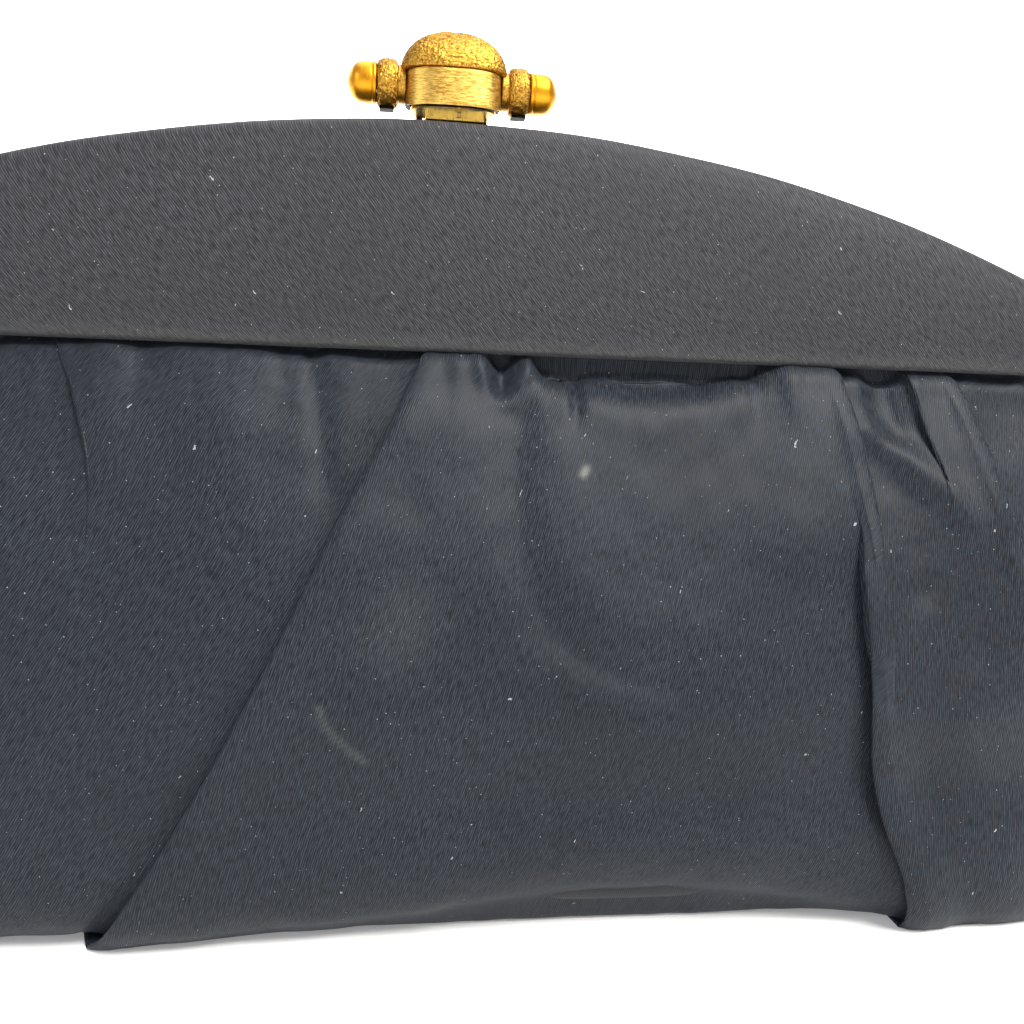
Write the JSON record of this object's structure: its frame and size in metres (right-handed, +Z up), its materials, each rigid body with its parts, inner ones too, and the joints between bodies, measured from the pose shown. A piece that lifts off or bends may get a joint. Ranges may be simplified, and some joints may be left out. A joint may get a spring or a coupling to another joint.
{
  "type": "clutch purse",
  "caption": "Evening clutch with a softly pleated satin pouch under two cloth-covered arched frame halves, riveted at the ends and held by a gilt flip clasp.",
  "frame": {"origin": "centre of the bottom face that the clutch stands on", "axes": "+X to the wearer's right along the width, -Y out of the front, the side with the catch lugs, +Z up to the clasp"},
  "size_m": [0.2572, 0.0436, 0.1379],
  "materials": {
    "cover_satin": "charcoal satin, twill back, glued over board",
    "pouch_satin": "navy charcoal satin, softly pleated",
    "lining_satin": "thin dark satin",
    "binding_ribbon": "grosgrain ribbon",
    "stiff_board": "pressed board",
    "padding_felt": "loose felt",
    "twisted_paper": "twisted kraft paper",
    "gilt_frame": "gilt plate, rolled",
    "gilt_polished": "gilt plate, polished",
    "gilt_brushed": "gilt plate, brushed round",
    "gilt_nugget": "gilt plate, stippled casting",
    "gilt_finial": "gilt plate, turned",
    "aged_brass": "darkened brass",
    "spring_steel": "bright wire"
  },
  "bodies": {
    "pouch": {"base_board": "stiff_board", "gusset_left": "pouch_satin", "gusset_right": "pouch_satin", "front_panel": "pouch_satin", "rear_panel": "pouch_satin", "front_backing": "padding_felt", "rear_backing": "padding_felt", "front_lining": "lining_satin", "rear_lining": "lining_satin", "slip_pocket": "lining_satin", "pocket_binding": "binding_ribbon"},
    "front_frame": {"front_frame_channel": "gilt_frame", "front_cover_board": "stiff_board", "front_cover_satin": "cover_satin", "front_channel_cord": "twisted_paper", "front_yoke": "pouch_satin", "catch_plate": "gilt_polished", "catch_rivets": "aged_brass"},
    "rear_frame": {"rear_frame_channel": "gilt_frame", "rear_cover_board": "stiff_board", "rear_cover_satin": "cover_satin", "rear_channel_cord": "twisted_paper", "rear_yoke": "pouch_satin", "clasp_bracket": "aged_brass", "bracket_rivets": "aged_brass", "clasp_pin": "spring_steel", "clasp_spring": "spring_steel", "hinge_rivet_left": "gilt_frame", "hinge_rivet_right": "gilt_frame", "hinge_washers": "aged_brass"},
    "clasp": {"clasp_lever": "gilt_polished", "clasp_drum": "gilt_brushed", "clasp_dome": "gilt_nugget", "clasp_bar": "gilt_finial", "bead_left": "gilt_nugget", "bead_right": "gilt_nugget", "finial_left": "gilt_finial", "finial_right": "gilt_finial", "foot_left": "aged_brass", "foot_right": "aged_brass"}
  },
  "joints": [
    {"name": "front_frame_hinge", "type": "hinge", "parent": "pouch", "child": "front_frame", "pos_m": [0, 0, 0.084], "axis": [1, 0, 0], "range_deg": [0, 35], "deforming": ["front_panel", "front_lining", "front_backing", "gusset_left", "gusset_right"]},
    {"name": "rear_frame_hinge", "type": "hinge", "parent": "pouch", "child": "rear_frame", "pos_m": [0, 0, 0.084], "axis": [1, 0, 0], "range_deg": [-35, 0], "deforming": ["rear_panel", "rear_lining", "rear_backing"]},
    {"name": "clasp_lift", "type": "hinge", "parent": "rear_frame", "child": "clasp", "pos_m": [0, 0.0036, 0.12485], "axis": [1, 0, 0], "range_deg": [-60, 0]}
  ],
  "couplings": [
    {"joint": "rear_frame_hinge", "follows": "front_frame_hinge", "ratio": -1}
  ]
}
